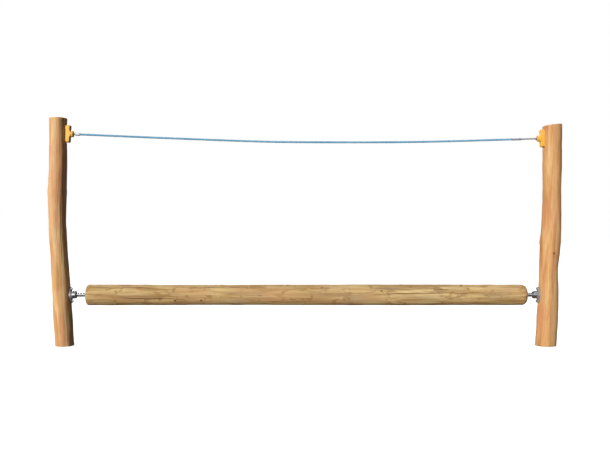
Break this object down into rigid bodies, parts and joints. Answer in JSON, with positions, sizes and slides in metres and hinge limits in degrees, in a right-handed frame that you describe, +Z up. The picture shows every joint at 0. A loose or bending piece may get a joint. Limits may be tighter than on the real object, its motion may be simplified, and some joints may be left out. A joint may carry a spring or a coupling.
{
  "type": "rolling balance log with hand rope",
  "caption": "Round log that turns low between two natural timber posts on flange bearings, with a taut blue hand rope strung between the post tops.",
  "frame": {"origin": "ground level, midway between the two posts, on the log's axis line seen from above", "axes": "+X along the log from the left post to the right post, +Z up, -Y towards a person facing it"},
  "size_m": [4.0557, 0.1648, 1.796],
  "materials": {
    "post_wood": "peeled, oiled, weathered",
    "log_wood": "peeled, dry, weathered",
    "plug_wood": "end grain",
    "axle_steel": "bright drawn",
    "bearing_steel": "ground",
    "housing_iron": "grey painted cast iron",
    "cover_steel": "pressed, dull",
    "fastener_steel": "galvanised",
    "terminal_steel": "swaged, dull",
    "nipple_brass": "plain",
    "cage_plastic": "moulded",
    "seal_rubber": "matt black",
    "yellow_plastic": "moulded, slightly grained",
    "cap_plastic": "moulded",
    "blue_rope": "laid polypropylene"
  },
  "bodies": {
    "frame": {"hand_rope": "blue_rope", "left_post": "post_wood", "left_bearing_housing": "housing_iron", "left_outer_ring": "bearing_steel", "left_bearing_shields": "seal_rubber", "left_end_cover": "cover_steel", "left_lip_seal": "seal_rubber", "left_grease_nipple": "nipple_brass", "left_flange_screws": "fastener_steel", "left_flange_washers": "fastener_steel", "left_rope_anchor": "yellow_plastic", "left_anchor_screws": "fastener_steel", "left_anchor_washers": "fastener_steel", "left_rope_terminal": "terminal_steel", "left_stud_washer": "fastener_steel", "left_stud_cap": "cap_plastic", "right_post": "post_wood", "right_bearing_housing": "housing_iron", "right_outer_ring": "bearing_steel", "right_bearing_shields": "seal_rubber", "right_end_cover": "cover_steel", "right_lip_seal": "seal_rubber", "right_grease_nipple": "nipple_brass", "right_flange_screws": "fastener_steel", "right_flange_washers": "fastener_steel", "right_rope_anchor": "yellow_plastic", "right_anchor_screws": "fastener_steel", "right_anchor_washers": "fastener_steel", "right_rope_terminal": "terminal_steel", "right_stud_washer": "fastener_steel", "right_stud_cap": "cap_plastic", "left_stud_nut": "fastener_steel", "right_stud_nuts": "fastener_steel"},
    "rolling_log": {"rolling_log": "log_wood", "axle_pins": "axle_steel", "pin_plugs": "plug_wood", "left_stub_axle": "axle_steel", "left_inner_ring": "bearing_steel", "left_grub_screws": "fastener_steel", "right_stub_axle": "axle_steel", "right_inner_ring": "bearing_steel", "right_grub_screws": "fastener_steel"},
    "left_ball_set": {"left_bearing_balls": "bearing_steel", "left_ball_cage": "cage_plastic"},
    "right_ball_set": {"right_bearing_balls": "bearing_steel", "right_ball_cage": "cage_plastic"}
  },
  "joints": [
    {"name": "log_spin", "type": "hinge", "parent": "frame", "child": "rolling_log", "pos_m": [0, 0, 0.4], "axis": [1, 0, 0], "continuous": true},
    {"name": "left_balls_spin", "type": "hinge", "parent": "frame", "child": "left_ball_set", "pos_m": [-1.842, 0, 0.4], "axis": [1, 0, 0], "continuous": true},
    {"name": "right_balls_spin", "type": "hinge", "parent": "frame", "child": "right_ball_set", "pos_m": [1.835, 0, 0.4], "axis": [1, 0, 0], "continuous": true}
  ],
  "couplings": [
    {"joint": "left_balls_spin", "follows": "log_spin", "ratio": 0.3983},
    {"joint": "right_balls_spin", "follows": "log_spin", "ratio": 0.3983}
  ]
}
